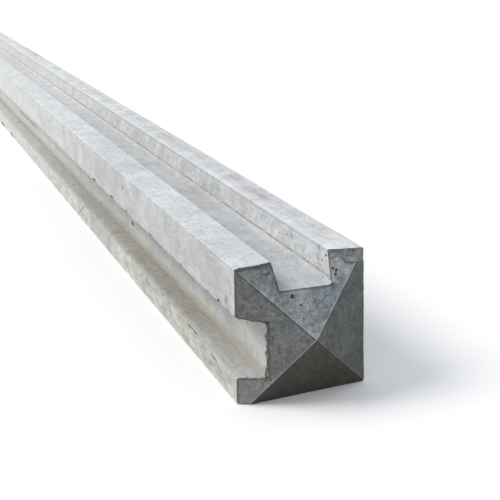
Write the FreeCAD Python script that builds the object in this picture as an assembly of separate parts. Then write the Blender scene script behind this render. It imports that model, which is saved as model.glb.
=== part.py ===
import FreeCAD, Part
import os
from math import sin, tan

# Precast concrete corner post for slotted fencing, cast in one piece, lying as it is stored.
# Frame: +Y runs along the length from the pointed head to the foot, +Z is up, X is across.
# The section has one panel slot in its upper side and one in its left side.
# The origin is under the middle of the post, on the surface that it lies on.
# All sizes are in millimetres.
V = FreeCAD.Vector

# Overall size, the point of the head included
post_length = 2440.0
post_width = 110.0
post_height = 116.5

# Upper slot, measured across from the left side and down from the top
top_slot_start = 31.5
top_slot_mouth = 51.0
top_slot_depth = 20.0
top_slot_left_draft = 1.0
top_slot_right_draft = 5.2
top_slot_floor_fall = 1.7

# Side slot, measured up from the underside and in from the left side
side_slot_start = 24.0
side_slot_mouth = 51.5
side_slot_depth = 21.6
side_slot_lower_draft = 0.5
side_slot_upper_draft = 4.0

# Rounding of the section's corners
outer_arris_radius = 0.8
mouth_arris_radius = 0.8
worn_arris_radius = 1.4
slot_corner_radius = 1.5
slot_cove_radius = 5.0

# Four-sided weathered head. Its lower left ridge misses the corner, as the mould's end sat askew
head_rise = 27.7
ridge_foot_across = 9.2
ridge_foot_back = 2.0

# Broken edges. A station is a place along the edge, then how far the break reaches on each face
cutter_overshoot = 0.25
# Left cheek of the head: across from the left side, back on the top, down on the slope
left_cheek_break = [(-1.0, 0.5, 1.3), (5.0, 0.8, 2.4), (10.0, 1.0, 3.8), (16.0, 0.7, 2.0),
                    (22.0, 1.2, 4.6), (26.0, 2.0, 8.6), (33.0, 2.6, 10.5)]
# Right cheek of the head, the same way from the upper slot to the right side
right_cheek_break = [(76.0, 11.5, 12.5), (84.0, 9.0, 11.5), (92.0, 5.4, 10.0), (98.0, 3.8, 11.4),
                     (105.0, 2.2, 9.8), (111.0, 0.7, 10.2)]
# Right wall of the upper slot at the head: up from the slot's floor, back on the wall, across
slot_wall_break = [(-1.0, 3.0, 0.8), (5.0, 5.0, 1.3), (11.0, 6.8, 1.7), (16.0, 8.4, 2.2), (23.0, 11.0, 3.2)]
# Floor of the side slot at the head: up from the lower wall, back on the floor, in on the slope
slot_floor_break = [(-0.8, 2.2, 1.2), (6.0, 3.0, 1.9), (13.0, 1.2, 0.8), (20.0, 2.6, 1.7),
                    (28.0, 1.0, 0.7), (36.0, 2.2, 1.3), (42.0, 0.9, 0.6), (48.5, 1.8, 1.0)]

# Chips on the upper mouth arris of the side slot: back from the eaves, length, height, depth
arris_chips = [(38.5, 8.0, 3.6, 3.6), (64.0, 9.0, 1.6, 2.2), (137.0, 11.0, 2.0, 2.6), (234.0, 12.0, 2.6, 3.0),
               (325.0, 11.0, 2.8, 3.0), (388.0, 13.0, 4.2, 3.2), (474.0, 14.0, 4.4, 3.2)]
chip_end_share = 0.15

half_length = post_length / 2
half_width = post_width / 2
eaves = head_rise - half_length
apex = V(0, -half_length, post_height / 2)


def top_slot_corners():
    """Upper slot from its right mouth arris to its left one, each corner as x, z and radius."""
    left = top_slot_start - half_width
    right = left + top_slot_mouth
    floor = post_height - top_slot_depth
    return [(right, post_height, mouth_arris_radius),
            (right - top_slot_right_draft, floor - top_slot_floor_fall, slot_cove_radius),
            (left + top_slot_left_draft, floor, slot_corner_radius),
            (left, post_height, mouth_arris_radius)]


def side_slot_corners():
    """Side slot from its upper mouth arris to its lower one, each corner as x, z and radius."""
    low = side_slot_start
    high = low + side_slot_mouth
    floor = side_slot_depth - half_width
    return [(-half_width, high, mouth_arris_radius),
            (floor, high - side_slot_upper_draft, slot_corner_radius),
            (floor, low + side_slot_lower_draft, slot_corner_radius),
            (-half_width, low, worn_arris_radius)]


def section_corners():
    """The whole section, anticlockwise as seen from the head."""
    lower = [(-half_width, 0, outer_arris_radius), (half_width, 0, outer_arris_radius)]
    upper_right = [(half_width, post_height, outer_arris_radius)]
    upper_left = [(-half_width, post_height, outer_arris_radius)]
    return lower + upper_right + top_slot_corners() + upper_left + side_slot_corners()


def rounded_outline(corners):
    """Closed outline in the XZ plane, with a tangent arc at each corner."""
    points = [V(x, 0, z) for x, z, radius in corners]
    arcs = []
    for i, (x, z, radius) in enumerate(corners):
        back = (points[i - 1] - points[i]).normalize()
        ahead = (points[(i + 1) % len(points)] - points[i]).normalize()
        half_angle = back.getAngle(ahead) / 2
        reach = radius / tan(half_angle)
        crown = radius / sin(half_angle) - radius
        arcs.append((points[i] + back * reach,
                     points[i] + (back + ahead).normalize() * crown,
                     points[i] + ahead * reach))
    edges = []
    for arc, following in zip(arcs, arcs[1:] + arcs[:1]):
        edges.append(Part.Arc(*arc).toShape())
        edges.append(Part.LineSegment(arc[2], following[0]).toShape())
    return Part.Wire(edges)


def slotted_shaft():
    """The section carried along the whole length, square at both ends."""
    face = Part.Face(rounded_outline(section_corners()))
    face.translate(V(0, -half_length, 0))
    return face.extrude(V(0, post_length, 0))


def ridge_feet():
    """Where the head's four ridges meet the sides, clockwise from the upper left corner."""
    return [V(-half_width, eaves, post_height),
            V(half_width, eaves, post_height),
            V(half_width, eaves, 0),
            V(ridge_foot_across - half_width, eaves + ridge_foot_back, 0)]


def pointed_envelope():
    """The head's four slopes, carried on past the foot as one large pyramid."""
    beyond = half_length + post_width
    base = [apex + (foot - apex) * ((beyond - apex.y) / (foot.y - apex.y)) for foot in ridge_feet()]
    faces = [Part.Face(Part.makePolygon(base + base[:1]))]
    for start, end in zip(base, base[1:] + base[:1]):
        faces.append(Part.Face(Part.makePolygon([apex, start, end, apex])))
    return Part.Solid(Part.Shell(faces))


def slope_y(x, z, first, second):
    """Y of the slope between two neighbouring ridges at a place in the section."""
    normal = (first - apex).cross(second - apex)
    return apex.y - (normal.x * (x - apex.x) + normal.z * (z - apex.z)) / normal.y


def upper_slope(x, z):
    """Point on the head's upper slope, or on its plane carried on."""
    feet = ridge_feet()
    return V(x, slope_y(x, z, feet[0], feet[1]), z)


def left_slope(x, z):
    """Point on the head's left slope, or on its plane carried on."""
    feet = ridge_feet()
    return V(x, slope_y(x, z, feet[3], feet[0]), z)


def broken_edge(stations):
    """Solid to cut away along an edge. A station is the edge's sharp point and the two points,
    one on each face, that the break runs between there."""
    profiles = []
    for corner, first, second in stations:
        spread = (first - second) * cutter_overshoot
        outside = corner * 3 - first - second
        triangle = [first + spread, outside, second - spread]
        profiles.append(Part.makePolygon(triangle + triangle[:1]))
    return Part.makeLoft(profiles, True, True)


def cheek_break(places):
    """Break along the top edge of the head, between the top face and the upper slope."""
    stations = []
    for across, back, down in places:
        x = across - half_width
        corner = V(x, eaves, post_height)
        stations.append((corner, corner + V(0, back, 0), upper_slope(x, post_height - down)))
    return broken_edge(stations)


def slot_wall_edge_break():
    """Break down the edge where the upper slot's right wall meets the head."""
    mouth, foot = top_slot_corners()[:2]
    lean = (mouth[0] - foot[0]) / (mouth[1] - foot[1])
    stations = []
    for up, back, across in slot_wall_break:
        z = foot[1] + up
        x = foot[0] + lean * up
        corner = upper_slope(x, z)
        stations.append((corner, corner + V(0, back, 0), upper_slope(x + across, z)))
    return broken_edge(stations)


def slot_floor_edge_break():
    """Ragged edge where the side slot's floor meets the head."""
    floor, low = side_slot_corners()[2][:2]
    stations = []
    for up, back, inward in slot_floor_break:
        corner = left_slope(floor, low + up)
        stations.append((corner, corner + V(0, back, 0), left_slope(floor + inward, low + up)))
    return broken_edge(stations)


def arris_chip(back, length, height, depth):
    """One chip out of the side slot's upper mouth arris."""
    edge_z = side_slot_start + side_slot_mouth
    stations = []
    for share, size in ((-0.5, chip_end_share), (-0.1, 1.0), (0.25, 0.8), (0.5, chip_end_share)):
        corner = V(-half_width, eaves + back + share * length, edge_z)
        stations.append((corner, corner + V(0, 0, height * size), corner + V(depth * size, 0, 0)))
    return broken_edge(stations)


def concrete_post():
    """The finished casting with its breaks and chips."""
    post = slotted_shaft().common(pointed_envelope())
    cuts = [cheek_break(left_cheek_break), cheek_break(right_cheek_break),
            slot_wall_edge_break(), slot_floor_edge_break()]
    cuts += [arris_chip(*chip) for chip in arris_chips]
    for cut in cuts:
        post = post.cut(cut)
    return post


os.makedirs("parts", exist_ok=True)
post = concrete_post()
print("post: solids", len(post.Solids), "valid", post.isValid(), "litres", round(post.Volume / 1e6, 3))
print("box", post.BoundBox)
post.Solids[0].exportStep("parts/post.step")
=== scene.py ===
from math import cos, radians, sin

import bmesh
import bpy
from mathutils import Matrix, Vector, noise
from mathutils.kdtree import KDTree


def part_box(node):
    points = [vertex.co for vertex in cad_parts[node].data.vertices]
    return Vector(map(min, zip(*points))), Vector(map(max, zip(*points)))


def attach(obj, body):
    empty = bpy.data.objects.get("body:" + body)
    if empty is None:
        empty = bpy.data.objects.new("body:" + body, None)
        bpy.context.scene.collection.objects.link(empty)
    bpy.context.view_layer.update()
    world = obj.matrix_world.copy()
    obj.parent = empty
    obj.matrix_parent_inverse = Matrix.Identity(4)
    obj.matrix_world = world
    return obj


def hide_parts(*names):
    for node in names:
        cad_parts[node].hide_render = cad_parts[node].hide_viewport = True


# A precast concrete corner post lying on its plain side, seen from its pointed head.
# Metres, +Y from the head to the foot, +Z up. The head's slopes end at the eaves.
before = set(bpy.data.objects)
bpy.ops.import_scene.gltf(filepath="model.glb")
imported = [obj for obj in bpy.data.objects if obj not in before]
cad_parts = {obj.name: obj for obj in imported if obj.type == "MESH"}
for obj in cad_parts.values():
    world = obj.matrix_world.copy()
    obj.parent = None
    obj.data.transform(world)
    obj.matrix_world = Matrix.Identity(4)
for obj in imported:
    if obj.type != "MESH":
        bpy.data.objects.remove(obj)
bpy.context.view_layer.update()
MM = 0.001
post_low, post_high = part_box("post")
HALF_WIDTH = post_high.x
TOP = post_high.z
POINT_Y = post_low.y
FOOT_Y = post_high.y
HEAD_RISE = 27.7 * MM
EAVES = POINT_Y + HEAD_RISE

# Where the post is seen from: the eye, its turn about the vertical, tilt and roll, and the lens
EYE = Vector((-0.2845, -1.8240, 0.3591))
TURN, TILT, ROLL = radians(21.062), radians(-18.730), radians(-2.269)
LENS_MM, SENSOR_MM = 68.76, 36.0
# The key light's direction, strength and spread, and the strength of the pale surround
KEY_FROM, KEY_STRENGTH, KEY_SPREAD = Vector((-0.62, 0.30, 0.72)), 2.1, radians(34)
SURROUND_STRENGTH = 0.80

# Section: the slots' mouth arrises and inner corners
SLOT_MOUTH_LEFT, SLOT_MOUTH_RIGHT = -23.5 * MM, 27.5 * MM
SLOT_FLOOR_LEFT, SLOT_FLOOR_RIGHT = -22.5 * MM, 22.3 * MM
SLOT_FLOOR_Z = 96.0 * MM
SIDE_MOUTH_LOW, SIDE_MOUTH_HIGH = 24.0 * MM, 75.5 * MM
SIDE_FLOOR_X, SIDE_FLOOR_LOW, SIDE_FLOOR_HIGH = -33.4 * MM, 24.5 * MM, 71.5 * MM
SLOT_COVE_X, SLOT_COVE_Z = 22.9 * MM, 98.0 * MM
# Foot of the head's lower left ridge, which misses the corner: across, and back from the eaves
LOW_RIDGE_X, LOW_RIDGE_BACK = -45.8 * MM, 2.0 * MM

# Mesh spacing: rows along the post open out with distance from the head
FINE_ROW = 1.5 * MM
ROW_GROWTH = 0.011
NEAR_HEAD = 26.0 * MM
HEAD_CELL = 1.6 * MM
BODY_CELL = 10.0 * MM
ARRIS_STEPS = (1.2 * MM, 2.6 * MM, 4.8 * MM)
CELL_GAP = 0.7 * MM
DENT_CELL, DENT_ROW, DENT_MARGIN = 2.6 * MM, 1.8 * MM, 14 * MM
WELD = 0.3 * MM
SNAP = 0.01 * MM

# Worn arrises: x, z, inward direction, even wear, uneven wear, reach, growth away from the head
ARRISES = (
    (-HALF_WIDTH, TOP, (1, -1), 0.15, 0.7, 4.0, 0),
    (SLOT_MOUTH_LEFT, TOP, (-1, -1), 0.15, 0.8, 4.0, 0),
    (SLOT_MOUTH_RIGHT, TOP, (1, -1), 0.3, 1.0, 5.0, 0),
    (HALF_WIDTH, TOP, (-1, -1), 0.15, 0.8, 4.0, 0),
    (-HALF_WIDTH, SIDE_MOUTH_HIGH, (1, 1), 0.2, 1.2, 4.5, 0),
    (-HALF_WIDTH, SIDE_MOUTH_LOW, (1, -1), 0.35, 1.6, 6.5, 2.6),
    (-HALF_WIDTH, 0.0, (1, 1), 0.2, 0.9, 4.0, 0),
    (HALF_WIDTH, 0.0, (-1, 1), 0.2, 0.9, 4.0, 0),
)

# Blowholes on the head's slopes: across, up, radius, all from the section's lower left corner
UPPER_SLOPE_HOLES = ((42.2, 91.2, 1.6), (47.6, 84.1, 0.9), (47.6, 74.7, 0.6), (80.7, 104.6, 1.5),
                     (82.6, 103.8, 1.2), (81.4, 101.2, 1.2), (33.0, 103.5, 0.6), (61.0, 70.5, 0.5))
LEFT_SLOPE_HOLES = ((10.6, 98.2, 0.7), (14.7, 83.7, 0.8), (17.7, 85.4, 0.8), (11.6, 78.2, 0.6),
                    (25.5, 60.0, 0.7), (24.5, 88.0, 0.6), (30.0, 47.0, 0.6))
RIGHT_SLOPE_HOLES = ((90.3, 69.6, 0.6), (90.3, 66.2, 0.7), (90.0, 61.2, 0.6), (78.8, 74.9, 0.6))
# Holes in the cheeks near the head: back from the eaves, height, radius
LEFT_FACE_HOLES = ((61.0, 96.0, 0.7), (150.0, 103.0, 0.8), (205.0, 95.0, 0.9), (333.0, 101.0, 1.1))
SLOT_WALL_HOLES = ((9.8, 111.2, 1.1), (14.6, 106.0, 0.8), (34.4, 100.9, 0.9), (74.0, 108.0, 0.6))
# Slanting dents in the side slot's floor: first and last place back from the eaves, how many,
# then lowest and highest place, half width and depth; and one upright slit nearer the head
DENT_FIRST, DENT_LAST, DENTS = 1041.0 * MM, 1185.0 * MM, 6
DENT_LOW, DENT_HIGH, DENT_HALF, DENT_DEPTH = 40.0 * MM, 46.5 * MM, 3.2 * MM, 3.0 * MM
SLIT_Y, SLIT_LOW, SLIT_HIGH, SLIT_HALF = EAVES + 389.5 * MM, 39.8 * MM, 45.4 * MM, 2.3 * MM

# Stains: x, place back from the eaves, z, half sizes in x, y and z, and strength
RUST = (
    (-49.0, 151.0, 24.0, 6.0, 5.0, 3.0, 0.80),
    (-42.0, 154.0, 24.0, 8.0, 9.0, 3.0, 0.45),
    (-48.0, 186.7, 24.0, 2.5, 5.0, 3.0, 0.75),
    (-52.0, 347.0, 24.0, 3.6, 8.0, 3.0, 0.75),
    (-48.0, 318.0, 24.0, 5.5, 20.0, 3.0, 0.38),
    (-45.0, 216.0, 24.0, 5.0, 12.0, 3.0, 0.40),
    (-55.0, 93.0, 12.0, 3.0, 14.0, 6.0, 0.30),
    (-55.0, 60.0, 10.0, 3.0, 12.0, 7.0, 0.25),
    (16.0, 302.0, 95.0, 5.0, 26.0, 4.0, 0.30),
)
GRIME = (
    (-55.0, 121.0, 95.0, 3.0, 5.0, 2.5, 0.45),
    (-55.0, 9.7, 99.9, 3.0, 2.4, 3.4, 0.85),
    (-55.0, 13.8, 102.6, 3.0, 3.0, 2.4, 0.60),
    (-55.0, 10.3, 94.4, 3.0, 2.4, 2.2, 0.75),
    (-55.0, 13.4, 88.8, 3.0, 3.0, 2.2, 0.60),
    (-55.0, 19.5, 86.0, 3.0, 5.0, 2.6, 0.65),
    (-55.0, 22.0, 83.0, 3.0, 3.6, 2.4, 0.75),
    (-55.0, 17.0, 77.6, 3.0, 4.0, 2.2, 0.55),
    (-55.0, 88.0, 14.0, 3.0, 16.0, 5.0, 0.25),
    (-33.4, 170.0, 46.0, 3.0, 5.0, 6.0, 0.30),
    (-33.4, 33.0, 57.0, 3.0, 6.0, 8.0, 0.32),
    (-33.4, 46.0, 33.0, 3.0, 3.0, 5.0, 0.25),
    (-36.0, 509.0, 25.0, 4.0, 6.0, 3.0, 0.9),
    (-35.0, 255.0, 25.0, 4.0, 4.0, 3.0, 0.9),
    (-36.0, 1198.0, 24.0, 4.0, 12.0, 3.0, 0.60),
    (-55.0, 1190.0, 2.0, 3.0, 22.0, 6.0, 1.30),
    (-55.0, 1311.0, 2.0, 3.0, 26.0, 5.0, 1.20),
    (-55.0, 1420.0, 1.0, 3.0, 60.0, 3.0, 0.80),
    (52.0, 1490.0, 116.5, 4.0, 150.0, 3.0, 0.40),
    (42.0, 190.0, 116.5, 16.0, 130.0, 3.0, 0.16),
    (-55.0, 40.0, 100.0, 3.0, 34.0, 12.0, 0.08),
)
# Chips already cut in the side slot's upper arris: place back from the eaves, half length, height
CHIPS = ((38.5, 4.5, 2.2), (64.0, 4.0, 1.0), (137.0, 4.5, 1.2), (234.0, 6.5, 2.0),
         (325.0, 6.0, 2.2), (388.0, 7.0, 3.2), (474.0, 9.0, 3.6))
# Edges of the head: how far they are chipped back at most, beside the side slot and elsewhere
RAGGED, CRISP, RIM_REACH = 1.6 * MM, 0.4 * MM, 3.0 * MM
# Roughness of the broken mortar, unevenness of the moulded faces, and depth of the finest relief
MORTAR_LUMPS, UNEVENNESS, RELIEF_DEPTH = 0.9 * MM, 0.35 * MM, 0.5 * MM
# Lines on upright faces, each from one place back and height to another, half width and strength
SCRATCHES = ((66.0, 18.2, 52.5, 17.4, 0.9, 0.90), (52.5, 17.4, 42.0, 12.5, 1.0, 0.35),
             (131.0, 23.0, 103.0, 22.4, 1.3, 0.85), (190.0, 23.0, 178.0, 23.0, 0.9, 0.60))
RUST_STROKES = ((184.5, 21.0, 176.0, 12.0, 3.4, 0.80), (156.5, 23.0, 150.4, 17.0, 2.4, 0.70),
                (150.4, 18.0, 145.0, 10.0, 3.4, 0.80), (163.0, 20.0, 158.0, 14.0, 2.6, 0.45))
FLOOR_STREAKS = ((41.3, 49.0, 39.8, 38.5, 1.6, 0.40), (39.8, 38.5, 36.7, 26.0, 1.4, 0.60))
WALL_CRACK = ((25.8, 116.0, 22.8, 111.0, 1.3, 0.45), (22.8, 111.0, 23.9, 106.6, 1.2, 0.30),
              (23.9, 106.6, 20.0, 102.9, 1.3, 0.45), (20.0, 102.9, 13.2, 100.1, 1.1, 0.35))
# Lower limits of the head's broken edges: across from the left side, height
LEFT_BAND = ((0.0, 115.6), (10.0, 115.8), (15.5, 115.4), (19.5, 114.0), (21.4, 110.8), (23.0, 109.4),
             (25.5, 109.2), (28.0, 111.4), (29.5, 106.0), (30.5, 101.0), (33.0, 99.0))
RIGHT_BAND = ((76.0, 108.6), (77.8, 110.0), (81.3, 110.6), (84.9, 111.1), (87.8, 112.2), (91.6, 109.8),
              (95.4, 107.8), (99.8, 107.9), (106.0, 106.0), (110.0, 105.0))
# Ridges of the head: foot across, foot up, the lit side, how strong that side's painted highlight is
RIDGES = ((-HALF_WIDTH, TOP, -1, 0.60), (HALF_WIDTH, TOP, 1, 0.55),
          (HALF_WIDTH, 0.0, 1, 0.10), (LOW_RIDGE_X, 0.0, -1, 0.40))


def camera():
    """The post's camera, from its turn about the vertical, its tilt and its roll."""
    ahead = Vector((sin(TURN) * cos(TILT), cos(TURN) * cos(TILT), sin(TILT)))
    level = Vector((cos(TURN), -sin(TURN), 0))
    upright = level.cross(ahead)
    across = level * cos(ROLL) + upright * sin(ROLL)
    up = upright * cos(ROLL) - level * sin(ROLL)
    data = bpy.data.cameras.new("view")
    data.lens, data.sensor_width, data.clip_start = LENS_MM, SENSOR_MM, 0.01
    view = bpy.data.objects.new("view", data)
    bpy.context.scene.collection.objects.link(view)
    view.matrix_world = Matrix((across, up, -ahead)).transposed().to_4x4()
    view.location = EYE
    bpy.context.scene.camera = view


def light():
    """Soft studio light: a broad key from behind on the left, and an even pale surround."""
    key = bpy.data.lights.new("key", "SUN")
    key.energy = KEY_STRENGTH
    key.angle = KEY_SPREAD
    key.color = (1.0, 0.985, 0.96)
    lamp = bpy.data.objects.new("key", key)
    bpy.context.scene.collection.objects.link(lamp)
    lamp.rotation_euler = KEY_FROM.to_track_quat("Z", "Y").to_euler()
    world = bpy.data.worlds.new("studio")
    bpy.context.scene.world = world
    world.use_nodes = True
    surround = world.node_tree.nodes["Background"]
    surround.inputs["Color"].default_value = (0.93, 0.96, 1.0, 1)
    surround.inputs["Strength"].default_value = SURROUND_STRENGTH
    bpy.context.scene.view_settings.view_transform = "Standard"


class Finish:
    """A material under construction: each call adds one step and returns its output."""

    def __init__(self, name):
        self.material = bpy.data.materials.new(name)
        self.material.use_nodes = True
        self.nodes = self.material.node_tree.nodes
        self.links = self.material.node_tree.links
        self.shader = self.nodes["Principled BSDF"]
        self.place = self.nodes.new("ShaderNodeTexCoord").outputs["Object"]

    def plug(self, socket, value):
        """Links what another step makes, or sets a plain value."""
        if isinstance(value, bpy.types.NodeSocket):
            self.links.new(value, socket)
        else:
            socket.default_value = value

    def step(self, kind, wired, **settings):
        """Adds one node with its settings and what is plugged into it."""
        node = self.nodes.new("ShaderNode" + kind)
        for setting, value in settings.items():
            setattr(node, setting, value)
        for socket, value in wired.items():
            self.plug(node.inputs[socket], value)
        return node

    def math(self, operation, first, second=0.0, clamp=False):
        wired = {0: first, 1: second}
        return self.step("Math", wired, operation=operation, use_clamp=clamp).outputs[0]

    def stretched(self, scale, turn=(0, 0, 0)):
        mapping = self.step("Mapping", {"Vector": self.place, "Rotation": turn, "Scale": scale})
        return mapping.outputs["Vector"]

    def noise(self, scale, detail=3.0, place=None, rough=0.55, bend=0.0):
        wired = {"Vector": place or self.place, "Scale": scale, "Detail": detail,
                 "Roughness": rough, "Distortion": bend}
        return self.step("TexNoise", wired).outputs["Fac"]

    def span(self, value, low, high, start=0.0, end=1.0):
        """Maps low to high onto start to end, held at both ends and eased between them."""
        wired = {"Value": value, "From Min": low, "From Max": high, "To Min": start, "To Max": end}
        return self.step("MapRange", wired, interpolation_type="SMOOTHSTEP").outputs["Result"]

    def fade(self, value, full, none):
        """1 up to the first place, easing to 0 at the second."""
        return self.span(value, full, none, 1.0, 0.0)

    def mix(self, amount, first, second, way="MIX"):
        """Blends two tones by an amount from 0 to 1."""
        node = self.step("Mix", {0: amount}, data_type="RGBA", blend_type=way)
        for socket, tone in ((6, first), (7, second)):
            self.plug(node.inputs[socket], (*tone, 1) if isinstance(tone, tuple) else tone)
        return node.outputs[2]

    def shaded(self, amount, tone, share):
        """A tone multiplied by a share of each colour, as far as the amount goes."""
        return self.mix(amount, tone, share, "MULTIPLY")

    def dot(self, direction):
        wired = {0: self.place, 1: direction}
        return self.step("VectorMath", wired, operation="DOT_PRODUCT").outputs["Value"]

    def times(self, *values):
        product = values[0]
        for value in values[1:]:
            product = self.math("MULTIPLY", product, value)
        return product

    def most(self, *values):
        highest = values[0]
        for value in values[1:]:
            highest = self.math("MAXIMUM", highest, value)
        return highest

    def opposite(self, value):
        return self.math("SUBTRACT", 1.0, value)

    def away(self, value, place):
        """Distance of a value from a place, on either side."""
        return self.math("ABSOLUTE", self.math("SUBTRACT", value, place))

    def attribute(self, name):
        return self.step("Attribute", {}, attribute_name=name).outputs["Fac"]

    def finish(self, color, rough, height, depth):
        """Plugs the last steps into the shader and returns the material."""
        bump = self.step("Bump", {"Height": height, "Distance": depth, "Strength": 1.0})
        self.plug(self.shader.inputs["Base Color"], color)
        self.plug(self.shader.inputs["Roughness"], rough)
        self.plug(self.shader.inputs["Normal"], bump.outputs["Normal"])
        return self.material


class Surface:
    """What the concrete's tones depend on: a face's place, the way it looks, and shared noises."""

    def __init__(self, paint):
        geometry = paint.step("NewGeometry", {})
        looks = paint.step("SeparateXYZ", {0: geometry.outputs["True Normal"]}).outputs
        self.across, self.along, self.upward = looks["X"], looks["Y"], looks["Z"]
        place = paint.step("SeparateXYZ", {0: paint.place}).outputs
        self.x, self.y, self.z = place["X"], place["Y"], place["Z"]
        self.sand = paint.noise(520.0, 3.0, rough=0.65)
        self.fractal = paint.noise(38.0, 7.0, rough=0.80)
        self.tint = paint.noise(60.0, 4.0, rough=0.65)
        self.fleck = paint.noise(1.0, 3.0, paint.stretched((340, 62, 340)), rough=0.7)
        self.mottle = paint.noise(95.0, 4.0, bend=0.4)
        self.cloud = paint.noise(17.0, 3.0, bend=0.5)
        slanting = paint.stretched((75, 520, 300), (0, 0, radians(24)))
        self.trowel = paint.noise(1.0, 3.0, slanting, bend=0.6)
        slanting_back = paint.stretched((160, 1200, 700), (0, 0, radians(-18)))
        self.fine_trowel = paint.noise(1.0, 2.0, slanting_back, bend=0.4)
        self.is_top = paint.span(self.upward, 0.55, 0.85)
        self.faces_left = paint.span(self.across, -0.6, -0.8)
        self.slot_wall = paint.times(self.faces_left, paint.span(self.x, 8 * MM, 14 * MM))
        before_eaves = paint.span(self.y, EAVES + 0.5 * MM, EAVES - 0.5 * MM)
        in_hole = paint.times(paint.span(paint.attribute("pit_shade"), 0.0, 0.15), before_eaves)
        self.is_slope = paint.most(paint.span(self.along, -0.12, -0.20), in_hole)


def moulded_sides(paint, at):
    """Faces that lay against the mould: nearly neutral, with faint upright streaks."""
    tone = paint.mix(paint.span(at.cloud, 0.35, 0.68), (0.400, 0.408, 0.412), (0.475, 0.482, 0.485))
    calm = paint.span(at.y, EAVES + 0.15, EAVES + 0.8, 1.0, 0.35)
    streaky = paint.times(paint.opposite(paint.times(at.slot_wall, 0.65)), calm)
    dark_streak = paint.noise(1.0, 3.0, paint.stretched((260, 260, 45)))
    dark_streak = paint.times(paint.span(dark_streak, 0.42, 0.72, 0.0, 0.35), streaky)
    tone = paint.mix(dark_streak, tone, (0.335, 0.335, 0.330))
    pale_streak = paint.noise(1.0, 2.0, paint.stretched((700, 700, 160)))
    pale_streak = paint.times(paint.span(pale_streak, 0.50, 0.72, 0.0, 0.30), streaky)
    tone = paint.mix(pale_streak, tone, (0.560, 0.565, 0.565))
    # The upper slot's right wall gets painted light
    tone = paint.shaded(at.slot_wall, tone, slot_wall_light_and_dirt(paint, at))
    outer = paint.times(at.faces_left, paint.span(at.x, -50 * MM, -53 * MM))
    upper_cheek = paint.times(outer, paint.span(at.z, 66 * MM, 74 * MM),
                              paint.span(at.y, EAVES + 50 * MM, EAVES + 200 * MM))
    tone = paint.shaded(upper_cheek, tone, (1.06, 1.065, 1.075))
    slot_floor = paint.times(at.faces_left, paint.span(at.x, -42 * MM, -37 * MM),
                             paint.span(at.x, 0, -10 * MM))
    # The side slot's floor gets painted shade in its upper part
    tone = paint.shaded(slot_floor, tone, slot_floor_warmth_and_shade(paint, at))
    low_cheek = paint.times(outer, paint.span(at.z, 30 * MM, 26 * MM))
    return paint.shaded(low_cheek, tone, low_cheek_share(paint))


def slot_wall_light_and_dirt(paint, at):
    """The upper slot's right wall faces the key light and is paler than the other sides as painted
    light, and cloudy, dirtier low at the head.
    """
    cloud = paint.noise(1.0, 5.0, paint.stretched((70, 55, 55)), rough=0.72, bend=0.8)
    share = paint.mix(paint.span(cloud, 0.36, 0.64), (1.12, 1.13, 1.15), (1.44, 1.45, 1.46))
    share = paint.mix(paint.span(at.y, EAVES + 0.3, EAVES + 0.9, 0.0, 0.6), share, (1.31, 1.32, 1.34))
    low_at_head = paint.times(paint.span(at.y, EAVES + 34 * MM, EAVES + 8 * MM),
                              paint.span(at.z, 109 * MM, 99 * MM), 0.55)
    return paint.mix(low_at_head, share, (0.93, 0.91, 0.89))


def slot_floor_warmth_and_shade(paint, at):
    """The side slot's floor is warm in its lower half, and darker above it away from the head with
    painted shade of the overhanging upper cheek.
    """
    # Painted shade under the upper cheek's overhang, less near the open head
    upper = paint.mix(paint.span(at.y, EAVES + 20 * MM, EAVES + 110 * MM),
                      (0.98, 0.97, 0.93), (0.72, 0.73, 0.73))
    return paint.mix(paint.span(at.z, 33 * MM, 52 * MM), (1.00, 0.985, 0.93), upper)


def low_cheek_share(paint):
    """The lower cheek is scuffed in slanting patches."""
    slanting = paint.stretched((70, 38, 90), (radians(40), 0, 0))
    scuffed = paint.noise(1.0, 6.0, slanting, rough=0.75, bend=0.5)
    return paint.mix(paint.span(scuffed, 0.36, 0.62), (0.76, 0.72, 0.64), (1.20, 1.20, 1.13))


def trowelled_tops(paint, at):
    """Faces that were open when cast: cooler and paler, with slanting trowel marks."""
    tone = paint.mix(paint.span(at.cloud, 0.3, 0.7), (0.560, 0.582, 0.622), (0.612, 0.630, 0.664))
    tone = paint.mix(paint.span(at.trowel, 0.40, 0.66, 0.0, 0.42), tone, (0.455, 0.472, 0.505))
    tone = paint.mix(paint.span(at.fine_trowel, 0.46, 0.66, 0.0, 0.45), tone, (0.780, 0.792, 0.815))
    tone = right_cheek_top(paint, at, tone)
    sunk = paint.times(paint.span(at.z, TOP - 8 * MM, TOP - 14 * MM),
                       paint.span(at.x, -28 * MM, -24 * MM))
    tone = paint.shaded(sunk, tone, (0.80, 0.80, 0.795))
    # The side slot's lower wall: dirt together with painted shade
    ledge = paint.times(paint.span(at.z, 40 * MM, 30 * MM), paint.span(at.x, -28 * MM, -32 * MM))
    return paint.mix(ledge, tone, side_slot_ledge(paint, at))


def right_cheek_top(paint, at, tone):
    """The right cheek's top is lilac beside the slot, with warm patches drawn out further right."""
    beside_slot = paint.times(paint.span(at.x, 26 * MM, 28 * MM),
                              paint.span(at.x, 37 * MM, 32 * MM), 0.45)
    tone = paint.mix(beside_slot, tone, (0.690, 0.690, 0.750))
    drawn_out = paint.noise(1.0, 5.0, paint.stretched((85, 9, 60)), rough=0.7, bend=0.5)
    warm = paint.times(paint.span(drawn_out, 0.38, 0.52, 0.75, 0.0),
                       paint.span(at.x, 31 * MM, 38 * MM),
                       paint.span(at.y, EAVES + 0.2, EAVES + 0.6, 1.0, 0.2))
    return paint.mix(warm, tone, (0.455, 0.435, 0.425))


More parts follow.
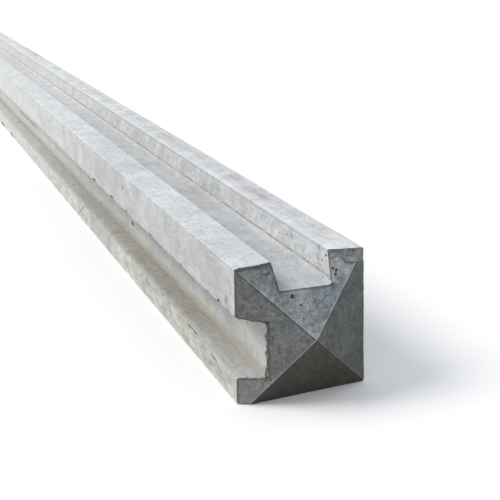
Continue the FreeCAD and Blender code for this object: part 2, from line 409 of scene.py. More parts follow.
def side_slot_ledge(paint, at):
    """The side slot's lower wall: dirty with brown specks, its dark grey partly dirt and partly painted
    shade of the overhanging upper cheek, paler at its outer edge and at the head.
    """
    at_head = paint.span(at.y, EAVES + 170 * MM, EAVES, 0.0, 0.8)
    pale = paint.math("ADD", paint.span(at.x, -47 * MM, -53 * MM), at_head, True)
    tone = paint.mix(pale, (0.310, 0.306, 0.286), (0.455, 0.458, 0.448))
    specks = paint.noise(1.0, 4.0, paint.stretched((380, 150, 380)), rough=0.75)
    specks = paint.times(paint.span(specks, 0.50, 0.64, 0.0, 0.60),
                         paint.span(at.y, EAVES + 40 * MM, EAVES + 170 * MM, 0.25, 1.0))
    return paint.mix(specks, tone, (0.250, 0.205, 0.150))


def shaft(paint, at):
    """The sides and tops, paler far from the head, with their speckle, dirt lines, painted shade in the
    side slot's roof corner, and arris lines.
    """
    body = paint.mix(at.is_top, moulded_sides(paint, at), trowelled_tops(paint, at))
    broad = paint.noise(4.5, 2.0)
    body = paint.mix(paint.span(broad, 0.42, 0.66, 0.0, 0.20), body, (0.340, 0.335, 0.320))
    far = paint.span(at.y, EAVES + 0.15, EAVES + 1.3, 0.0, 0.50)
    body = paint.mix(far, body, (0.700, 0.710, 0.715))
    for noises, low, dark_share, pale_share in (
            (at.fractal, 0.36, (0.89, 0.885, 0.87), (1.09, 1.09, 1.09)),
            (at.tint, 0.38, (1.02, 1.00, 0.965), (0.99, 1.00, 1.025)),
            (at.sand, 0.34, (0.93, 0.93, 0.92), (1.06, 1.06, 1.06)),
            (at.fleck, 0.34, (0.93, 0.93, 0.92), (1.07, 1.07, 1.07))):
        share = paint.mix(paint.span(noises, low, 1 - low), dark_share, pale_share)
        body = paint.shaded(1.0, body, share)
    return arris_lines(paint, at, dirt_and_shade_lines(paint, at, body))


def corner_line(paint, x, z, corner_x, corner_z, reach):
    """A soft line that follows one inner corner of the section along the post, used for dirt and for
    painted shade.
    """
    off_x = paint.math("SUBTRACT", x, corner_x)
    off_z = paint.math("SUBTRACT", z, corner_z)
    square = paint.math("ADD", paint.times(off_x, off_x), paint.times(off_z, off_z))
    return paint.fade(paint.math("SQRT", square), reach * 0.25, reach)


def dirt_and_shade_lines(paint, at, body):
    """Dirt that has gathered in the slots' inner corners, wandering and broken up, and painted shade in
    the side slot's corner under its roof.
    """
    wander = paint.times(paint.math("SUBTRACT", at.mottle, 0.5), 9 * MM)
    patchy = paint.span(at.fractal, 0.40, 0.60, 0.25, 1.0)
    wavy_z = paint.math("ADD", at.z, wander)
    side_corner = corner_line(paint, at.x, wavy_z, SIDE_FLOOR_X, SIDE_FLOOR_LOW + 2 * MM, 9.0 * MM)
    body = paint.mix(paint.times(side_corner, patchy, 0.45), body, (0.330, 0.275, 0.200))
    seam_z = paint.math("ADD", at.z, paint.times(wander, 0.25))
    seam = corner_line(paint, at.x, seam_z, SIDE_FLOOR_X, SIDE_FLOOR_LOW + 0.5 * MM, 2.7 * MM)
    seam_fade = paint.span(at.y, EAVES + 15 * MM, EAVES + 140 * MM, 0.25, 0.60)
    body = paint.mix(paint.times(seam, patchy, seam_fade), body, (0.250, 0.200, 0.145))
    wavy_x = paint.math("ADD", at.x, paint.times(wander, 0.35))
    cove = corner_line(paint, wavy_x, at.z, SLOT_COVE_X, SLOT_COVE_Z, 1.7 * MM)
    left_corner = corner_line(paint, at.x, at.z, SLOT_FLOOR_LEFT, SLOT_FLOOR_Z + 0.5 * MM, 1.6 * MM)
    upper_slot = paint.times(paint.most(cove, paint.times(left_corner, 0.4)), patchy, 0.75)
    body = paint.mix(upper_slot, body, (0.190, 0.165, 0.125))
    # Painted shade in the side slot's corner under the upper cheek
    roof_corner_shade = corner_line(paint, at.x, at.z, SIDE_FLOOR_X, SIDE_FLOOR_HIGH, 3.0 * MM)
    return paint.mix(paint.times(roof_corner_shade, 0.5), body, (0.200, 0.195, 0.180))


def arris_lines(paint, at, body):
    """A bluish line at the slot wall's top, a brown one on the right cheek, and broken dark ones
    beside the upper cheek's arrises."""
    wall_top = paint.fade(paint.away(at.z, TOP - 1.8 * MM), 0.6 * MM, 2.0 * MM)
    body = paint.mix(paint.times(wall_top, at.slot_wall, 0.5), body, (0.260, 0.285, 0.330))
    brown = corner_line(paint, at.x, at.z, 44 * MM, TOP, 3.0 * MM)
    brown = paint.times(brown, paint.fade(at.fractal, 0.44, 0.58), 0.35)
    body = paint.mix(brown, body, (0.330, 0.290, 0.250))
    outer = paint.times(paint.span(at.across, -0.3, -0.6), paint.span(at.x, -50 * MM, -53 * MM))
    under_top = paint.fade(paint.away(at.z, TOP - 1.6 * MM), 0.3 * MM, 1.0 * MM)
    over_mouth = paint.fade(paint.away(at.z, SIDE_MOUTH_HIGH + 1.2 * MM), 0.3 * MM, 1.3 * MM)
    broken_up = paint.span(at.fractal, 0.46, 0.57, 1.0, 0.30)
    line = paint.times(paint.most(under_top, paint.times(over_mouth, 0.7)), outer, broken_up, 0.6)
    return paint.mix(line, body, (0.215, 0.200, 0.170))


def head_slopes(paint, at):
    """The head's four slopes: dense and dark, partly painted shade; bluish with painted sky light
    above, brown and darkest with painted shade below.
    """
    # Slopes facing right get a darker tone than those facing left: painted shade
    side = paint.mix(paint.span(at.across, -0.3, 0.3), (0.112, 0.115, 0.114), (0.068, 0.074, 0.067))
    # Upward-facing slopes get a paler bluish tone: painted sky light
    upper = paint.span(at.upward, 0.15, 0.35)
    tone = paint.mix(upper, side, (0.218, 0.240, 0.258))
    # Downward-facing slopes get the darkest brown tone: painted shade
    tone = paint.mix(paint.span(at.upward, -0.15, -0.35), tone, (0.028, 0.023, 0.015))
    low_end = paint.times(paint.span(at.z, 27 * MM, 22 * MM), paint.span(at.across, -0.2, -0.35))
    tone = paint.mix(low_end, tone, (0.190, 0.188, 0.184))
    left_top = paint.times(paint.span(at.z, 96 * MM, 106 * MM),
                           paint.span(at.x, -18 * MM, -24 * MM), upper)
    tone = paint.mix(left_top, tone, (0.150, 0.165, 0.176))
    smoky = paint.mix(paint.span(at.fractal, 0.38, 0.62), (0.70, 0.70, 0.72), (1.34, 1.34, 1.30))
    tone = paint.shaded(paint.span(at.across, -0.2, 0.3, 0.55, 1.0), tone, smoky)
    blotch = paint.noise(210.0, 6.0, rough=0.78, bend=0.3)
    dark_blotch = paint.times(paint.span(blotch, 0.36, 0.54, 0.85, 0.0),
                              paint.opposite(paint.times(low_end, 0.6)))
    tone = paint.shaded(dark_blotch, tone, (0.52, 0.54, 0.58))
    tone = paint.shaded(paint.span(blotch, 0.50, 0.66, 0.0, 0.85), tone, (1.58, 1.55, 1.45))
    gritty = paint.span(paint.noise(720.0, 3.0, rough=0.7), 0.36, 0.64)
    tone = paint.shaded(1.0, tone, paint.mix(gritty, (0.80, 0.80, 0.81), (1.20, 1.20, 1.18)))
    hue = paint.mix(paint.span(at.tint, 0.38, 0.62), (1.02, 1.00, 0.96), (0.97, 1.00, 1.05))
    tone = paint.shaded(1.0, tone, hue)
    tone = paint.shaded(paint.span(at.cloud, 0.38, 0.62, 0.35, 0.0), tone, (0.72, 0.74, 0.78))
    return paint.shaded(paint.span(at.sand, 0.52, 0.75, 0.0, 0.30), tone, (1.7, 1.7, 1.7))


def broken_mortar(paint, at):
    """Rough grey mortar where the head's edges have broken away."""
    lump = paint.noise(330.0, 4.0, rough=0.75)
    tone = paint.mix(paint.span(lump, 0.38, 0.62), (0.083, 0.087, 0.091), (0.262, 0.276, 0.289))
    return paint.mix(paint.span(at.mottle, 0.35, 0.60, 0.45, 0.0), tone, (0.120, 0.112, 0.098))


def broken_edges(paint, at, body):
    """The head's broken edges with a painted shadow line along their lower limit, and the painted
    highlight and shade lines on its ridges.
    """
    lies_in = paint.attribute("broken")
    edge = paint.math("ADD", lies_in, paint.span(at.mottle, 0.3, 0.7, -0.22, 0.22))
    broken = paint.span(edge, 0.44, 0.54)
    body = paint.mix(broken, body, broken_mortar(paint, at))
    patchy_on_right = paint.most(paint.span(at.x, 0, -8 * MM),
                                 paint.span(at.tint, 0.42, 0.54, 0.55, 1.0))
    # Painted shadow: a dark line along the broken edges' lower limit
    rim = paint.times(paint.span(edge, 0.12, 0.38), paint.fade(edge, 0.54, 0.70),
                      paint.span(lies_in, 0.0, 0.12), patchy_on_right)
    body = paint.mix(paint.times(rim, 0.92), body, (0.055, 0.058, 0.061))
    # Painted highlight and painted shade beside the head's ridges
    pale, dark = ridge_highlight_and_shade(paint, paint.times(at.is_slope, paint.opposite(broken)))
    pale = paint.times(pale, paint.span(at.mottle, 0.3, 0.6, 0.25, 0.55))
    body = paint.mix(pale, body, (0.460, 0.470, 0.460))
    return paint.shaded(paint.times(dark, 0.75), body, (0.34, 0.32, 0.28))


def ridge_highlight_and_shade(paint, where):
    """The painted highlight on the lit side of each of the head's ridges, and the painted shade line on
    the other.
    """
    point = Vector((0, 0, TOP / 2))
    pale, dark = 0.0, 0.0
    for foot_x, foot_z, lit_side, strength in RIDGES:
        run = (Vector((foot_x, 0, foot_z)) - point).normalized()
        square = Vector((-run.z, 0, run.x)) * lit_side
        along = paint.math("SUBTRACT", paint.dot(run), run.dot(point))
        across = paint.math("SUBTRACT", paint.dot(square), square.dot(point))
        beside = paint.times(paint.span(along, -0.5 * MM, 1.0 * MM), where)
        lit = paint.times(paint.fade(across, 0.9 * MM, 1.5 * MM),
                          paint.span(across, -0.1 * MM, 0.2 * MM))
        shade = paint.times(paint.span(across, -1.6 * MM, -0.7 * MM),
                            paint.fade(across, -0.1 * MM, 0.2 * MM))
        pale = paint.most(pale, paint.times(lit, beside, strength))
        dark = paint.most(dark, paint.times(shade, beside))
    return pale, dark


def painted_lip_shade(paint, at, body):
    """Painted shade where the head ends: a dark line under the top's edge, round its rim and on the
    side slot's floor.
    """
    # Painted shadow line just under the top's edge at the head
    top_lip = paint.times(paint.span(at.upward, 0.96, 0.88), paint.span(at.along, -0.2, -0.4),
                          paint.span(at.z, TOP - 3.3 * MM, TOP - 2.1 * MM),
                          paint.span(at.x, 50 * MM, 46 * MM),
                          paint.span(at.tint, 0.42, 0.52, 0.35, 1.0))
    # Painted shade round the head's rim
    rim = paint.times(paint.attribute("rim"), at.is_slope)
    # Painted shade along the side slot floor's edge at the head, made jagged
    jagged = paint.math("ADD", paint.attribute("painted_edge_shade"), paint.span(at.sand, 0.3, 0.7, -0.5, 0.5))
    lip = paint.most(top_lip, rim, paint.span(jagged, 0.35, 0.60))
    lip = paint.times(lip, paint.span(at.sand, 0.35, 0.55, 0.60, 1.0))
    return paint.mix(paint.times(lip, 0.94), body, (0.040, 0.036, 0.030))


def worn_arrises(paint, at, body):
    """Paler concrete where the arrises are worn, and darker on the side slot's lower one."""
    worn = paint.times(paint.attribute("worn"), paint.span(at.sand, 0.3, 0.6, 0.2, 1.0))
    low_arris = paint.times(paint.span(at.z, 32 * MM, 28 * MM), paint.span(at.z, 14 * MM, 18 * MM))
    tone = paint.mix(low_arris, (0.660, 0.665, 0.660), (0.330, 0.325, 0.310))
    return paint.mix(paint.times(worn, 0.45, paint.opposite(at.is_slope)), body, tone)


def stained(paint, at, body):
    """Rust on the ledge and in strokes on the lower cheek, streaks on the slot's floor, and grime."""
    rust = paint.times(paint.attribute("rust"), paint.span(at.sand, 0.36, 0.58, 0.35, 1.0),
                       paint.span(at.fractal, 0.36, 0.52, 0.5, 1.3))
    body = paint.mix(paint.math("MINIMUM", rust, 0.9), body, (0.320, 0.205, 0.110))
    strokes = paint.times(lines_on_face(paint, at, RUST_STROKES), at.faces_left,
                          paint.span(at.x, -48 * MM, -51 * MM),
                          paint.span(at.sand, 0.35, 0.55, 0.4, 1.0))
    body = paint.mix(strokes, body, (0.400, 0.280, 0.140))
    streaks = paint.times(lines_on_face(paint, at, FLOOR_STREAKS), at.faces_left,
                          paint.span(at.x, -36 * MM, -34.5 * MM), paint.span(at.x, 0, -20 * MM))
    body = paint.mix(streaks, body, (0.280, 0.215, 0.140))
    grime = paint.times(paint.attribute("grime"), paint.span(at.mottle, 0.30, 0.58, 0.2, 1.0))
    return paint.mix(grime, body, (0.100, 0.098, 0.092))


def pores(paint):
    """Small scattered air holes, painted as dark dots of shade."""
    cells = paint.step("TexVoronoi", {"Vector": paint.place, "Scale": 230.0}, feature="F1")
    chosen = paint.step("SeparateXYZ", {0: cells.outputs["Color"]}).outputs["X"]
    return paint.times(paint.fade(cells.outputs["Distance"], 0.09, 0.16),
                       paint.span(chosen, 0.82, 0.86))


def lines_on_face(paint, at, lines):
    """The strongest of several lines on an upright face."""
    strongest = 0.0
    for back, up, end_back, end_up, half_width, strength in lines:
        line = one_line(paint, at, (back, up), (end_back, end_up), half_width)
        strongest = paint.most(strongest, paint.times(line, strength))
    return strongest


def one_line(paint, at, start, end, half_width):
    """A line between two places on an upright face, a little uneven."""
    first = Vector((EAVES + start[0] * MM, start[1] * MM))
    run = Vector((EAVES + end[0] * MM, end[1] * MM)) - first
    length, way = run.length, run.normalized()
    off_y = paint.math("SUBTRACT", at.y, first.x)
    off_z = paint.math("SUBTRACT", at.z, first.y)
    along = paint.math("ADD", paint.times(off_y, way.x), paint.times(off_z, way.y))
    aside = paint.math("SUBTRACT", paint.times(off_y, way.y), paint.times(off_z, way.x))
    wander = paint.times(paint.math("SUBTRACT", at.mottle, 0.5), 9 * MM)
    aside = paint.math("ABSOLUTE", paint.math("ADD", aside, wander))
    return paint.times(paint.fade(aside, half_width * 0.4 * MM, half_width * MM),
                       paint.span(along, -1 * MM, 1 * MM),
                       paint.fade(along, length - 1 * MM, length + 1 * MM))


def hairline(paint, at, along, place, half_width):
    """A thin crack at one place along the post, bent by noise."""
    drift = paint.times(paint.math("SUBTRACT", at.cloud, 0.5), 14 * MM)
    return paint.fade(paint.away(paint.math("ADD", along, drift), place), half_width * 0.4, half_width)


def cracks(paint, at):
    """Cracks in the upper slot's right wall, and a bowed one and scratches in the lower cheek."""
    outer = paint.times(at.faces_left, paint.span(at.x, -48 * MM, -51 * MM))
    scratches = paint.times(lines_on_face(paint, at, SCRATCHES), outer)
    bent = paint.times(lines_on_face(paint, at, WALL_CRACK), at.slot_wall)
    leaning = paint.math("ADD", at.y, paint.times(at.z, 1.9))
    bowed = paint.times(hairline(paint, at, leaning, EAVES + 604 * MM, 1.2 * MM),
                        at.faces_left, paint.span(at.z, 32 * MM, 27 * MM))
    upright = paint.times(hairline(paint, at, at.y, EAVES + 274 * MM, 0.8 * MM), at.slot_wall, 0.5)
    return paint.most(scratches, bent, bowed, upright)


def relief(paint, at, grain, dark):
    """The concrete's fine unevenness: sandy and mottled, combed by the trowel, sunk at pores."""
    height = paint.math("ADD", paint.times(grain, 0.10), paint.times(at.sand, 0.35))
    height = paint.math("ADD", height, paint.times(at.mottle, 0.55))
    combed = paint.times(at.is_top, paint.math("ADD", at.trowel, at.fine_trowel), 0.45)
    height = paint.math("ADD", height, combed)
    return paint.math("SUBTRACT", height, paint.times(dark, 0.9))


def cast_concrete():
    """Weathered precast concrete, with each face's own tone, some of it painted light and shade, and
    its stains, cracks and pores.
    """
    paint = Finish("cast_concrete")
    at = Surface(paint)
    body = paint.mix(at.is_slope, shaft(paint, at), head_slopes(paint, at))
    body = broken_edges(paint, at, body)
    body = painted_lip_shade(paint, at, body)
    body = worn_arrises(paint, at, body)
    body = stained(paint, at, body)
    # Painted shade in blowholes, dents, chips and pores, with the dark cracks and scratches
    dark = paint.most(paint.attribute("pit_shade"), pores(paint), cracks(paint, at))
    body = paint.mix(paint.times(dark, 0.90), body, (0.040, 0.037, 0.033))
    grain = paint.noise(1500.0, 2.0)
    body = paint.mix(paint.span(grain, 0.35, 0.65, 0.0, 0.10), body, (0.200, 0.200, 0.195))
    rough = paint.mix(at.is_slope, (0.92, 0.92, 0.92), (0.66, 0.66, 0.66))
    return paint.finish(body, rough, relief(paint, at, grain, dark), RELIEF_DEPTH)


def studio_floor():
    """A wide pale floor under the post."""
    paint = Finish("pale_floor")
    tone = paint.mix(paint.noise(3.0, 4.0), (0.86, 0.86, 0.86), (0.90, 0.90, 0.90))
    bm = bmesh.new()
    bmesh.ops.create_grid(bm, x_segments=2, y_segments=2, size=12.0)
    finish = paint.finish(tone, 0.925, paint.noise(400.0), 0.05 * MM)
    mesh_piece("studio_floor", bm, finish)


def mesh_piece(name, bm, material):
    """Turns a finished bmesh into a named piece at the origin."""
    mesh = bpy.data.meshes.new(name)
    bm.to_mesh(mesh)
    bm.free()
    mesh.materials.append(material)
    piece = bpy.data.objects.new(name, mesh)
    bpy.context.scene.collection.objects.link(piece)
    return piece


def merged_copy(node):
    """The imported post's mesh, copied, welded across its finest facets, its flat faces made whole."""
    bm = bmesh.new()
    bm.from_mesh(node.data)
    bmesh.ops.remove_doubles(bm, verts=bm.verts, dist=WELD)
    bmesh.ops.dissolve_limit(bm, angle_limit=radians(0.5), verts=bm.verts, edges=bm.edges)
    bmesh.ops.connect_verts_concave(bm, faces=bm.faces)
    return bm


def slice_across(bm, faces, axis, places):
    """Cuts faces by planes square to one axis, and returns what they became."""
    if not places or not faces:
        return faces
    half = len(places) // 2
    edges = dict.fromkeys(edge for face in faces for edge in face.edges)
    verts = dict.fromkeys(vert for face in faces for vert in face.verts)
    cut = bmesh.ops.bisect_plane(bm, geom=[*verts, *edges, *faces], dist=SNAP,
                                 plane_co=axis * places[half], plane_no=axis)
    below, above = [], []
    for item in cut["geom"]:
        if isinstance(item, bmesh.types.BMFace):
            side = below if item.calc_center_median().dot(axis) < places[half] else above
            side.append(item)
    below = slice_across(bm, below, axis, places[:half])
    return below + slice_across(bm, above, axis, places[half + 1:])


def even_places(low, high, step):
    """Places between two ends, evenly spaced at about the step."""
    count = max(1, round((high - low) / step))
    return [low + (high - low) * i / count for i in range(1, count)]


def near_arrises(places, inward_only):
    """Cuts close beside each arris, on both sides of it or only inward from an outer one."""
    cuts = []
    for place in places:
        sides = inward_only.get(place, (-1, 1))
        cuts += [place + side * step for step in ARRIS_STEPS for side in sides]
    return cuts


def spaced(places, gap):
    """Sorted places with none closer than the gap to the one before."""
    kept = []
    for place in sorted(places):
        if not kept or place - kept[-1] >= gap:
            kept.append(place)
    return kept


def rows_along():
    """Places of the cuts across the post, closest at the head."""
    rows, y = [], POINT_Y
    while y < FOOT_Y:
        y += FINE_ROW + ROW_GROWTH * max(0.0, y - EAVES)
        rows.append(y)
    rows += [FOOT_Y - step for step in ARRIS_STEPS]
    return [row for row in spaced(rows, 0.8 * MM) if row < FOOT_Y - 0.5 * MM]


def outermost(cuts):
    """Only the cuts beside the section's two outer sides."""
    return cuts[:len(ARRIS_STEPS)] + cuts[-len(ARRIS_STEPS):]


def slice_dents(bm, floor_faces):
    """Divides the side slot's floor finely round the dents and round the slit."""
    for first, last in ((EAVES + DENT_FIRST, EAVES + DENT_LAST), (SLIT_Y, SLIT_Y)):
        near = [face for face in floor_faces if face.is_valid
                and first - 30 * MM < face.calc_center_median().y < last + 30 * MM]
        along = even_places(first - DENT_MARGIN, last + DENT_MARGIN, DENT_CELL)
        near = slice_across(bm, near, Vector((0, 1, 0)), along)
        slice_across(bm, near, Vector((0, 0, 1)),
                     even_places(DENT_LOW - 3 * MM, DENT_HIGH + 3 * MM, DENT_ROW))


def slice_post(bm):
    """Divides the post's faces finely enough to carry wear, most finely at the head."""
    x_axis, y_axis, z_axis = Vector((1, 0, 0)), Vector((0, 1, 0)), Vector((0, 0, 1))
    coarse_x = even_places(-HALF_WIDTH, HALF_WIDTH, BODY_CELL)
    coarse_z = even_places(0, TOP, BODY_CELL)
    edge_x = near_arrises([-HALF_WIDTH, SLOT_MOUTH_LEFT, SLOT_MOUTH_RIGHT, HALF_WIDTH],
                          {-HALF_WIDTH: (1,), HALF_WIDTH: (-1,)})
    edge_z = near_arrises([0.0, SIDE_MOUTH_LOW, SIDE_MOUTH_HIGH, TOP], {0.0: (1,), TOP: (-1,)})
    inner_x = [SLOT_FLOOR_LEFT + 2 * MM, SLOT_FLOOR_RIGHT - 2 * MM, SIDE_FLOOR_X - 2 * MM]
    inner_z = [SLOT_FLOOR_Z + 2.5 * MM, SIDE_FLOOR_LOW + 2 * MM, SIDE_FLOOR_HIGH - 2 * MM]

    def part(test):
        return [face for face in bm.faces if test(face.calc_center_median())]

    for test, axis, cuts in (
            (lambda c: c.z > 0.5 * TOP, x_axis, coarse_x + edge_x + inner_x),
            (lambda c: c.z <= 0.5 * TOP, x_axis, coarse_x + outermost(edge_x)),
            (lambda c: c.x < 0, z_axis, coarse_z + edge_z + inner_z),
            (lambda c: c.x >= 0, z_axis, coarse_z + outermost(edge_z))):
        slice_across(bm, part(test), axis, spaced(cuts, CELL_GAP))
    slice_across(bm, list(bm.faces), y_axis, rows_along())
    slice_dents(bm, part(lambda c: abs(c.x - SIDE_FLOOR_X) < 1 * MM and 34 * MM < c.z < 58 * MM))
    head = part(lambda c: c.y < EAVES + NEAR_HEAD)
    head = slice_across(bm, head, x_axis, even_places(-HALF_WIDTH, HALF_WIDTH, HEAD_CELL))
    slice_across(bm, head, z_axis, even_places(0, TOP, HEAD_CELL))
    bmesh.ops.remove_doubles(bm, verts=bm.verts, dist=2 * SNAP)


def met_by(surface, start, direction):
    """Where a line from a place first meets the post, and the surface's direction there."""
    met, place, normal, _ = surface.ray_cast(start, direction)
    return (place, normal) if met else (None, None)


def place_holes(surface):
    """Every modelled blowhole: its place on the surface, the way into the concrete, its radius."""
    found = []
    left, front = -HALF_WIDTH, POINT_Y - 0.05
    for across, up, radius in UPPER_SLOPE_HOLES + LEFT_SLOPE_HOLES + RIGHT_SLOPE_HOLES:
        start = Vector((left + across * MM, front, up * MM))
        found.append((*met_by(surface, start, Vector((0, 1, 0))), radius * MM))
    for back, up, radius in LEFT_FACE_HOLES:
        start = Vector((left - 0.05, EAVES + back * MM, up * MM))
        found.append((*met_by(surface, start, Vector((1, 0, 0))), radius * MM))
    for back, up, radius in SLOT_WALL_HOLES:
        start = Vector((0, EAVES + back * MM, up * MM))
        found.append((*met_by(surface, start, Vector((1, 0, 0))), radius * MM))
    return [hole for hole in found if hole[0] is not None]


def refine_round(bm, holes):
    """Splits the faces round each blowhole so that it can be round."""
    for centre, _, radius in holes:
        reach = radius * 1.5
        near = [face for face in bm.faces
                if (face.calc_center_median() - centre).length < reach + 1.2 * MM]
        edges = list(dict.fromkeys(edge for face in near for edge in face.edges))
        bmesh.ops.subdivide_edges(bm, edges=edges, cuts=2, use_grid_fill=True)


def wear_at(y, seed, even, uneven):
    """How far an arris is worn back at a place along it, in metres."""
    slow = noise.noise(Vector((y * 9.0, seed, 0.3)))
    quick = noise.noise(Vector((y * 60.0, seed, 7.1)))
    chip = max(0.0, noise.noise(Vector((y * 110.0, seed, 3.7))) - 0.28)
    return (even + 0.35 * uneven * (0.5 + slow) * (0.6 + 0.6 * quick) + uneven * 1.9 * chip) * MM


def wear_arrises(co):
    """Movement of a vertex by the wear of the arrises, and how worn it is."""
    move, most = Vector((0, 0, 0)), 0.0
    back = min(1.0, max(0.0, (co.y - EAVES - 60 * MM) / (140 * MM)))
    for number, (x, z, inward, even, uneven, reach, growth) in enumerate(ARRISES):
        reach *= MM
        away = Vector((co.x - x, 0, co.z - z)).length
        if away < reach:
            share = (1 - away / reach) ** 1.5
            depth = max(0.0, wear_at(co.y, 11.0 * number, even * (1 + growth * back), uneven)) * share
            move += Vector((inward[0], 0, inward[1])).normalized() * depth
            most = max(most, share)
    return move, most


def dent_depth(co):
    """How deep a place in the side slot's floor lies in one of the dents or the slit, as a share."""
    if abs(co.x - SIDE_FLOOR_X) > 1.5 * MM or not DENT_LOW - 3 * MM < co.z < DENT_HIGH + 3 * MM:
        return 0.0
    if abs(co.y - SLIT_Y) < 3 * SLIT_HALF and SLIT_LOW < co.z < SLIT_HIGH:
        return min(1.0, max(0.0, 1.7 - abs(co.y - SLIT_Y) / SLIT_HALF))
    pitch = (DENT_LAST - DENT_FIRST) / (DENTS - 1)
    place = (co.y - EAVES - DENT_FIRST - (co.z - 45 * MM) * 1.2) / pitch
    number = round(place)
    if number < 0 or number >= DENTS or not DENT_LOW < co.z < DENT_HIGH:
        return 0.0
    return min(0.85, max(0.0, 1.4 - abs(place - number) * pitch / DENT_HALF))


def height_on(line, across):
    """Height of a broken line at a place across it."""
    for (start, low), (end, high) in zip(line, line[1:]):
        if start <= across <= end:
            return low + (high - low) * (across - start) / (end - start)
    return line[0][1] if across < line[0][0] else line[-1][1]


def inside_broken(co, normal):
    """How far a place lies inside the head's broken upper edges, a half on their lower limit."""
    if co.y > EAVES + 12 * MM or co.z < 96 * MM or normal.y > -0.2:
        return 0.0
    across = (co.x + HALF_WIDTH) / MM
    line = LEFT_BAND if across < 55 else RIGHT_BAND
    return max(0.0, min(1.0, 0.5 + (co.z / MM - height_on(line, across)) / 4.0))


def left_slope_y(x, z):
    """Where the head's left slope lies along the post, at a place in the section."""
    point = Vector((0, POINT_Y, TOP / 2))
    upper, lower = Vector((-HALF_WIDTH, EAVES, TOP)), Vector((LOW_RIDGE_X, EAVES + LOW_RIDGE_BACK, 0))
    normal = (upper - point).cross(lower - point)
    return point.y - (normal.x * x + normal.z * (z - point.z)) / normal.y


def painted_edge_shade(co):
    """How much painted shade the side slot's floor gets where it ends at the head."""
    if abs(co.x - SIDE_FLOOR_X) > 2.6 * MM or not SIDE_FLOOR_LOW < co.z < SIDE_FLOOR_HIGH + 1 * MM:
        return 0.0
    gap = (co.y - left_slope_y(co.x, co.z)) / MM
    if gap > 9 or co.x > SIDE_FLOOR_X + 1.9 * MM:
        return 0.0
    return max(0.0, min(1.0, (2.9 - gap) / 1.8), 0.22 * (1 - gap / 9))


def stain(co, spots):
    """Strength of the strongest stain at a place."""
    most = 0.0
    across, behind, up = co.x / MM, (co.y - EAVES) / MM, co.z / MM
    for x, back, z, half_x, half_y, half_z, strength in spots:
        away = Vector(((across - x) / half_x, (behind - back) / half_y, (up - z) / half_z))
        most = max(most, strength * max(0.0, 1 - away.length_squared))
    return most


def chip_shade(co):
    """How far inside one of the slot arris's chips a place lies, used as painted shade."""
    if co.x > -HALF_WIDTH + 7 * MM or not SIDE_MOUTH_HIGH - 2 * MM < co.z < SIDE_MOUTH_HIGH + 7 * MM:
        return 0.0
    most = 0.0
    for back, half_length, height in CHIPS:
        along = (co.y - EAVES - back * MM) / (half_length * MM)
        up = (co.z - SIDE_MOUTH_HIGH) / (height * MM)
        most = max(most, 1.5 - along * along - max(0.0, up) ** 2)
    return min(1.0, most)


def head_rim(bm):
    """The outline where the head's slopes meet the other faces, ready for nearest-place searches."""
    rim = []
    for vert in bm.verts:
        lean = [face.normal.y for face in vert.link_faces]
        if min(lean) < -0.22 and max(lean) > -0.2 and vert.co.y < EAVES + 15 * MM:
            rim.append(vert.co.copy())
    tree = KDTree(len(rim))
    for index, co in enumerate(rim):
        tree.insert(co, index)
    tree.balance()
    return tree


def rim_chipping(co, tree):
    """How far a place near the head's outline is chipped back, in metres, and how much painted shade
    its edge gets.
    """
    if co.y > EAVES + 16 * MM:
        return 0.0, 0.0
    near, _, away = tree.find(co)
    if away > RIM_REACH:
        return 0.0, 0.0
    beside_slot = near.x < SIDE_FLOOR_X + 4 * MM and 18 * MM < near.z < 82 * MM
    outside = near.x > HALF_WIDTH - 2 * MM or near.z < 2 * MM or near.z > TOP - 2 * MM
    size = RAGGED if beside_slot else CRISP
    if near.z > 90 * MM and SLOT_FLOOR_RIGHT - 4 * MM < near.x < SLOT_MOUTH_RIGHT + 6 * MM:
        size = 0.0
    chip = max(0.0, noise.noise(near * 210.0) + 0.10) + 0.25 * abs(noise.noise(near * 480.0))
    shade = min(1.0, 1.6 * max(0.0, 1 - away / (2.3 * MM))) * (0.25 if outside else 1.0)
    return size * min(1.0, chip) * (1 - away / RIM_REACH) ** 1.3, shade


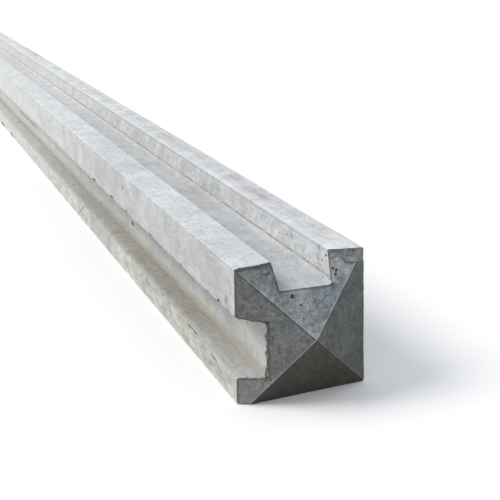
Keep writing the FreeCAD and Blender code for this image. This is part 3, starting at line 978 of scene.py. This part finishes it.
def hole_depth(co, holes):
    """Movement of a vertex into the blowholes, and how much painted shade it gets there."""
    move, dark = Vector((0, 0, 0)), 0.0
    for centre, outward, radius in holes:
        if abs(co.y - centre.y) < radius * 1.2:
            away = (co - centre).length / radius
            if away < 1.15:
                depth = max(0.0, 1 - away * away) ** 0.5
                move -= outward * radius * 0.9 * depth
                dark = max(dark, min(1.0, 1.5 * depth))
    return move, dark


def weather(bm, holes):
    """Moves every vertex for wear, holes and unevenness, and paints where each finish lies."""
    bm.normal_update()
    tree = head_rim(bm)
    names = ("rust", "grime", "broken", "worn", "pit_shade", "rim", "painted_edge_shade")
    layers = {name: bm.verts.layers.float.new(name) for name in names}
    moves = []
    for vert in bm.verts:
        co, normal = vert.co, vert.normal
        move, worn = wear_arrises(co)
        broken = inside_broken(co, normal)
        if broken > 0:
            lump = abs(noise.fractal(co * 420.0, 0.7, 2.1, 4)) * max(0.0, 2 * broken - 1)
            move -= normal * (MORTAR_LUMPS * lump)
        if normal.y > -0.6:
            move -= normal * (UNEVENNESS * (noise.noise(co * 24.0) * 0.5 + 0.5))
        chipped, shade = rim_chipping(co, tree)
        move -= normal * chipped
        dent = dent_depth(co)
        move.x += DENT_DEPTH * dent
        sunk, pit_shade = hole_depth(co, holes)
        vert[layers["rust"]] = stain(co, RUST)
        vert[layers["grime"]] = stain(co, GRIME)
        vert[layers["broken"]] = broken
        vert[layers["worn"]] = worn
        # The pit, rim and slot floor edge layers hold painted shade
        vert[layers["pit_shade"]] = max(pit_shade, dent, chip_shade(co))
        vert[layers["rim"]] = shade
        vert[layers["painted_edge_shade"]] = painted_edge_shade(co)
        moves.append((vert, move + sunk))
    for vert, move in moves:
        moved = vert.co + move
        vert.co = Vector([max(low, min(high, at)) for low, at, high in zip(post_low, moved, post_high)])


def weathered_post():
    """The post as it looks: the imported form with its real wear, replacing the plain one."""
    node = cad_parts["post"]
    bm = merged_copy(node)
    slice_post(bm)
    holes = place_holes(node)
    refine_round(bm, holes)
    weather(bm, holes)
    for face in bm.faces:
        face.smooth = True
    post = mesh_piece("weathered_post", bm, cast_concrete())
    post.data.set_sharp_from_angle(angle=radians(32))
    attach(post, "root")
    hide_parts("post")


camera()
light()
studio_floor()
weathered_post()
